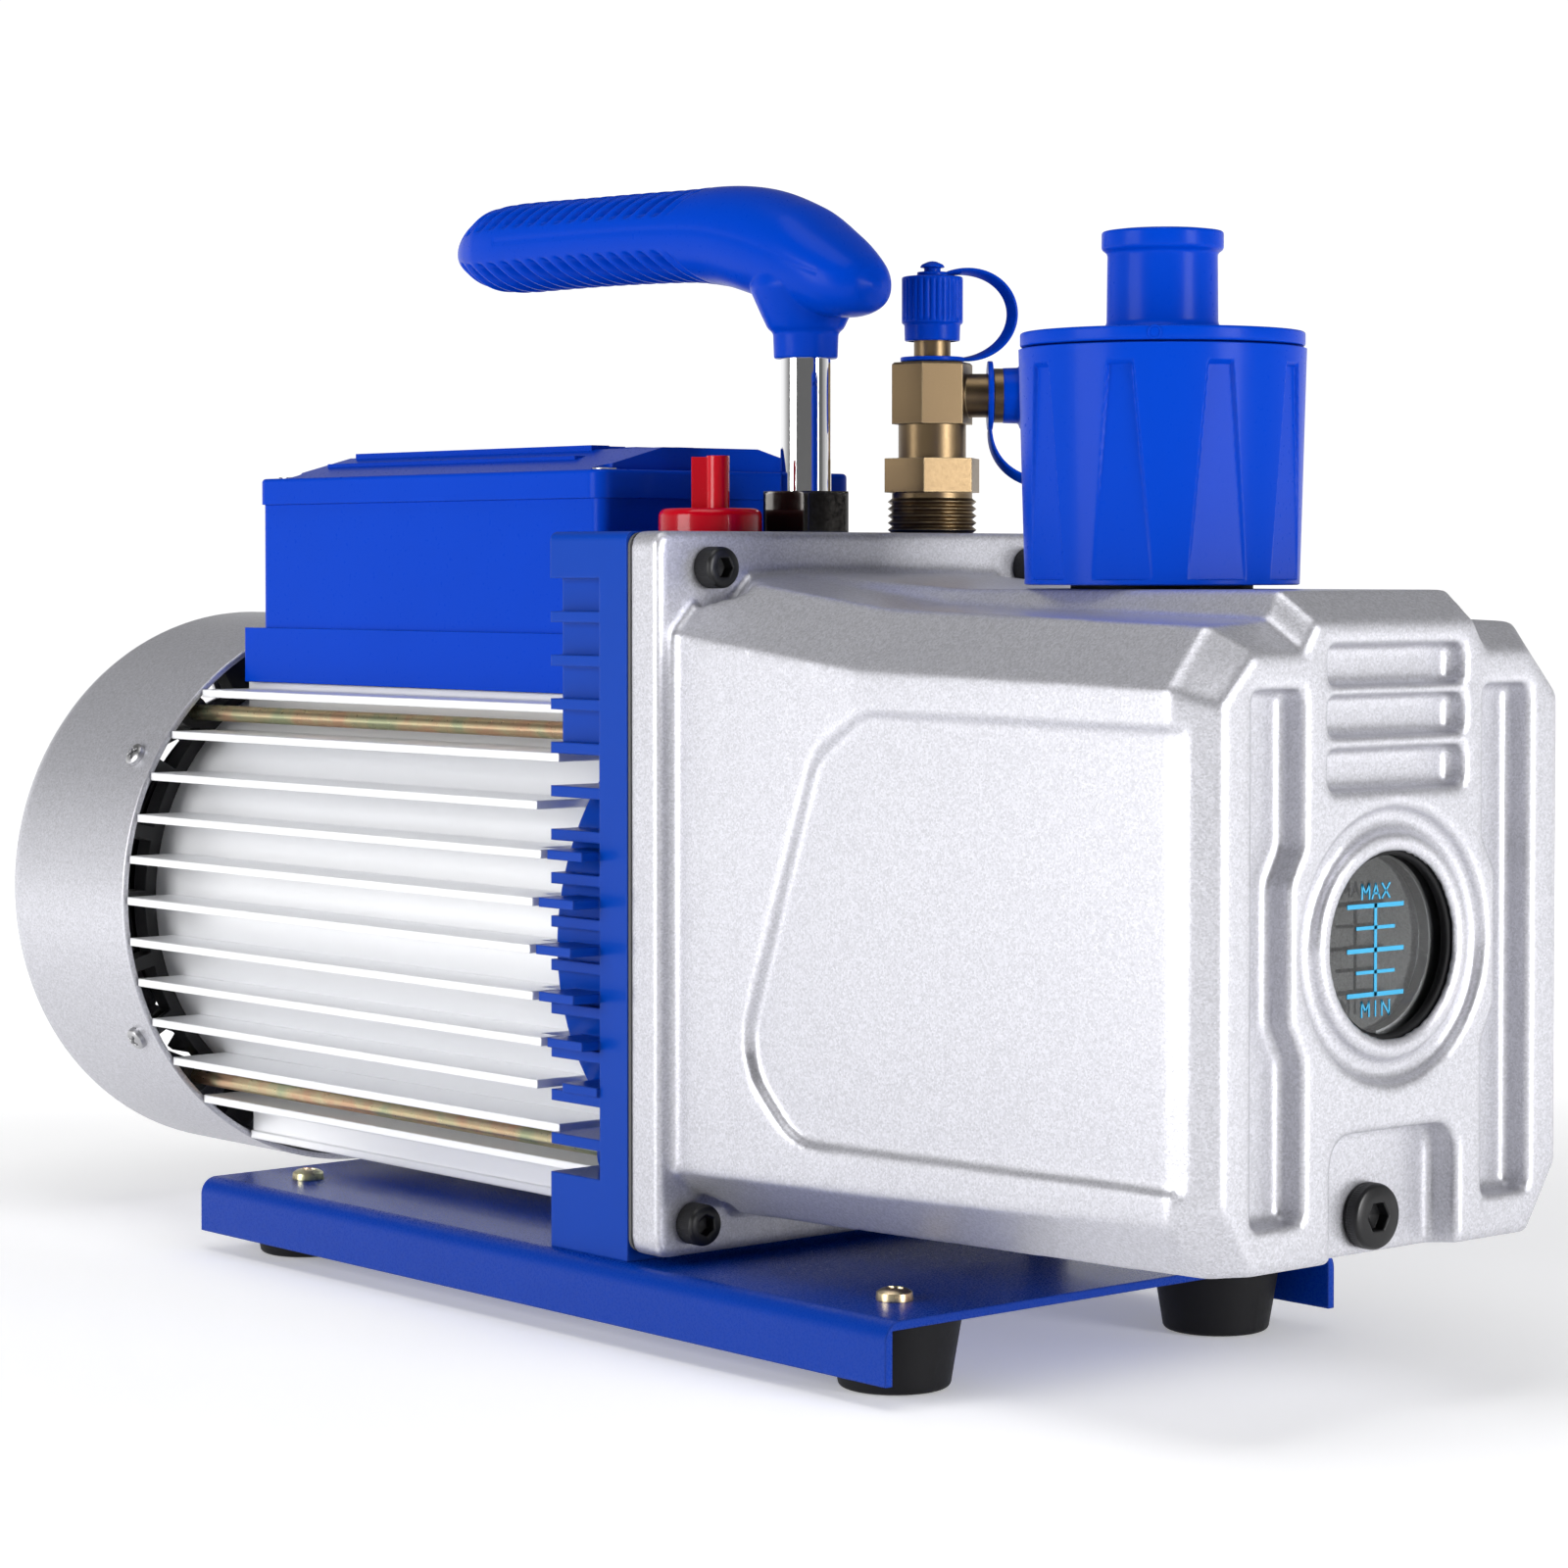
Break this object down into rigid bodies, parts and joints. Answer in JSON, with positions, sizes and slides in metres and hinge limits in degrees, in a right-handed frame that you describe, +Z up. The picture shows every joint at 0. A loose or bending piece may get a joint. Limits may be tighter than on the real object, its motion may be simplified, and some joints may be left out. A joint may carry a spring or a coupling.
{
  "type": "rotary vane vacuum pump",
  "caption": "Portable two-stage rotary vane vacuum pump with finned motor, oil tank with sight glass, inlet fitting, exhaust filter and carrying handle.",
  "frame": {"origin": "centre of the bounding box, on the floor under the rubber feet", "axes": "+X along the motor and pump shaft towards the sight glass, +Z up, Y = 0 on the mid-plane"},
  "size_m": [0.406, 0.14, 0.2518],
  "materials": {
    "blue_paint": "gloss",
    "bracket_paint": "satin",
    "silver_paint": "satin metallic",
    "black_paint": "satin",
    "blue_plastic": "gloss",
    "red_plastic": "gloss",
    "black_plastic": "matte",
    "cyan_print": "matte",
    "vane_composite": "matte",
    "gasket_paper": "matte",
    "filter_felt": "matte",
    "rubber_black": "matte",
    "clear_glass": "polished",
    "chrome_plate": "polished",
    "black_chrome": "polished",
    "steel_bright": "satin",
    "steel_bolt": "satin",
    "black_oxide": "satin",
    "lamination_steel": "satin",
    "zinc_yellow": "satin",
    "barrel_aluminium": "satin",
    "cast_grey": "satin",
    "brass_bright": "polished",
    "copper_wire": "satin"
  },
  "bodies": {
    "body": {"base_bolts": "steel_bolt", "base_plate": "blue_paint", "cap_strap_side": "blue_plastic", "cap_strap_top": "blue_plastic", "exhaust_valves": "steel_bright", "fan_cover": "silver_paint", "fan_cover_screws": "zinc_yellow", "foot_screws": "zinc_yellow", "front_bearing": "steel_bright", "handle_grip": "blue_plastic", "handle_nut": "black_chrome", "handle_post": "chrome_plate", "inlet_adapter": "brass_bright", "inlet_tee": "brass_bright", "level_scale": "cyan_print", "lid_screws": "steel_bolt", "motor_housing": "barrel_aluminium", "oil_baffle": "steel_bright", "power_inlet": "black_plastic", "pump_bolts": "black_oxide", "pump_bracket": "bracket_paint", "pump_front_plate": "cast_grey", "pump_middle_plate": "cast_grey", "pump_rear_plate": "cast_grey", "rear_bearing": "steel_bright", "rear_end_bell": "black_paint", "rubber_feet": "rubber_black", "run_capacitor": "black_plastic", "shaft_seal": "rubber_black", "sight_glass": "clear_glass", "sight_glass_retainer": "steel_bright", "sight_glass_seal": "rubber_black", "stage_one_cylinder": "cast_grey", "stage_two_cylinder": "cast_grey", "stator_core": "lamination_steel", "stator_windings": "copper_wire", "switch_frame": "black_plastic", "tank_cover": "silver_paint", "tank_gasket": "gasket_paper", "tank_screws": "black_oxide", "terminal_box": "blue_plastic", "terminal_lid": "blue_plastic", "tie_rods": "zinc_yellow"},
    "rotor": {"motor_shaft": "steel_bright", "motor_rotor": "lamination_steel", "cooling_fan": "black_plastic", "drive_coupling": "steel_bright", "pump_rotor": "steel_bright", "rotor_vanes": "vane_composite", "vane_springs": "steel_bright"},
    "exhaust_filter": {"filter_body": "blue_plastic", "filter_lid": "blue_plastic", "filter_element": "filter_felt", "filter_seal": "rubber_black"},
    "ballast_plug": {"ballast_plug": "red_plastic"},
    "drain_plug": {"drain_plug": "black_oxide", "drain_seal": "rubber_black"},
    "cap_top": {"inlet_cap_top": "blue_plastic"},
    "cap_side": {"inlet_cap_side": "blue_plastic"},
    "rocker": {"rocker_switch": "red_plastic"}
  },
  "joints": [
    {"name": "rotor_spin", "type": "hinge", "parent": "body", "child": "rotor", "pos_m": [0, 0, 0.0826], "axis": [1, 0, 0], "continuous": true},
    {"name": "filter_lift", "type": "slide", "parent": "body", "child": "exhaust_filter", "axis": [0, 0, 1], "range_m": [0, 0.03]},
    {"name": "ballast_plug_lift", "type": "slide", "parent": "body", "child": "ballast_plug", "axis": [0, 0, 1], "range_m": [0, 0.025]},
    {"name": "drain_plug_out", "type": "slide", "parent": "body", "child": "drain_plug", "axis": [1, 0, 0], "range_m": [0, 0.02]},
    {"name": "cap_top_lift", "type": "slide", "parent": "body", "child": "cap_top", "axis": [0, 0, 1], "range_m": [0, 0.014], "deforming": ["cap_strap_top"]},
    {"name": "cap_side_out", "type": "slide", "parent": "body", "child": "cap_side", "axis": [0.6508, 0.7593, 0], "range_m": [0, 0.014], "deforming": ["cap_strap_side"]},
    {"name": "rocker_tilt", "type": "hinge", "parent": "body", "child": "rocker", "pos_m": [-0.1287, 0.019, 0.165], "axis": [0, 0, 1], "range_deg": [0, 12]}
  ]
}
